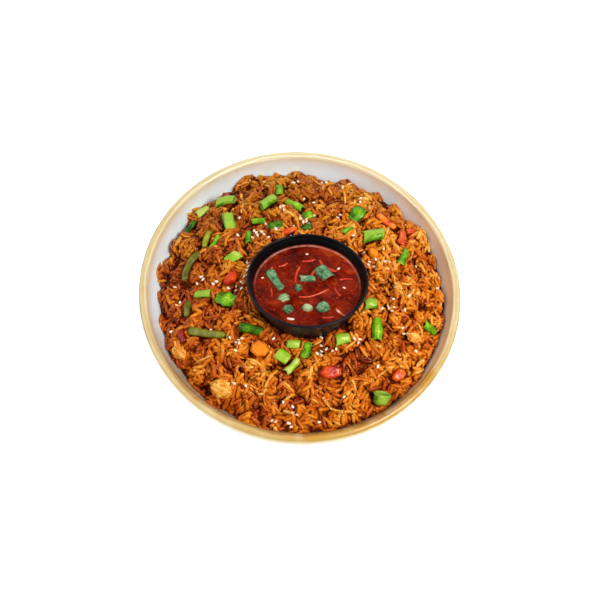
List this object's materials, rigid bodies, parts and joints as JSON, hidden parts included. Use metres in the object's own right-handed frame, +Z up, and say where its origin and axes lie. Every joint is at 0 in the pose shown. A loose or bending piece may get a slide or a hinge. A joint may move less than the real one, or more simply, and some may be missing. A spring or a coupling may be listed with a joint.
{
  "type": "bowl of rice with gravy",
  "caption": "Round ochre stoneware bowl heaped with fried rice, vegetables and sesame, and a small black cup of red gravy set into the middle.",
  "frame": {"origin": "middle of the bowl's foot, on the surface it stands on", "axes": "+Z up along the bowl's axis; -Y is the side the picture was taken from"},
  "size_m": [0.2104, 0.2108, 0.0863],
  "materials": {
    "glazed_stoneware": "glossy ochre glaze, cooler and paler inside",
    "black_plastic": "thin dark plastic, half gloss",
    "gravy": "thick wet sauce",
    "fried_rice": "glossy sauced grains",
    "onion_in_gravy": "wet",
    "spring_onion": "moist",
    "carrot_and_red_pepper": "moist",
    "green_pepper": "moist",
    "chicken": "fried, moist"
  },
  "bodies": {
    "root": {"bowl": "glazed_stoneware", "gravy_cup": "black_plastic", "gravy": "gravy", "rice": "fried_rice", "gravy_onion_1": "onion_in_gravy", "gravy_onion_2": "onion_in_gravy", "gravy_onion_3": "onion_in_gravy", "gravy_onion_4": "onion_in_gravy", "gravy_onion_5": "onion_in_gravy", "gravy_onion_6": "onion_in_gravy", "gravy_onion_7": "onion_in_gravy", "gravy_onion_8": "onion_in_gravy", "spring_onion_01": "spring_onion", "spring_onion_02": "spring_onion", "spring_onion_03": "spring_onion", "spring_onion_04": "spring_onion", "spring_onion_05": "spring_onion", "spring_onion_06": "spring_onion", "spring_onion_07": "spring_onion", "spring_onion_08": "spring_onion", "spring_onion_09": "spring_onion", "spring_onion_10": "spring_onion", "spring_onion_11": "spring_onion", "spring_onion_12": "spring_onion", "spring_onion_13": "spring_onion", "spring_onion_14": "spring_onion", "spring_onion_15": "spring_onion", "spring_onion_16": "spring_onion", "spring_onion_17": "spring_onion", "spring_onion_18": "spring_onion", "spring_onion_19": "spring_onion", "spring_onion_20": "spring_onion", "spring_onion_21": "spring_onion", "spring_onion_22": "spring_onion", "spring_onion_23": "spring_onion", "spring_onion_24": "spring_onion", "spring_onion_25": "spring_onion", "spring_onion_26": "spring_onion", "spring_onion_27": "spring_onion", "spring_onion_28": "spring_onion", "spring_onion_29": "spring_onion", "spring_onion_30": "spring_onion", "carrot_and_pepper_01": "carrot_and_red_pepper", "carrot_and_pepper_02": "carrot_and_red_pepper", "carrot_and_pepper_03": "carrot_and_red_pepper", "carrot_and_pepper_04": "carrot_and_red_pepper", "carrot_and_pepper_05": "carrot_and_red_pepper", "carrot_and_pepper_06": "carrot_and_red_pepper", "carrot_and_pepper_07": "carrot_and_red_pepper", "carrot_and_pepper_08": "carrot_and_red_pepper", "carrot_and_pepper_09": "carrot_and_red_pepper", "carrot_and_pepper_10": "carrot_and_red_pepper", "green_pepper_01": "green_pepper", "green_pepper_02": "green_pepper", "green_pepper_03": "green_pepper", "green_pepper_04": "green_pepper", "chicken_01": "chicken", "chicken_02": "chicken", "chicken_03": "chicken"}
  },
  "joints": []
}
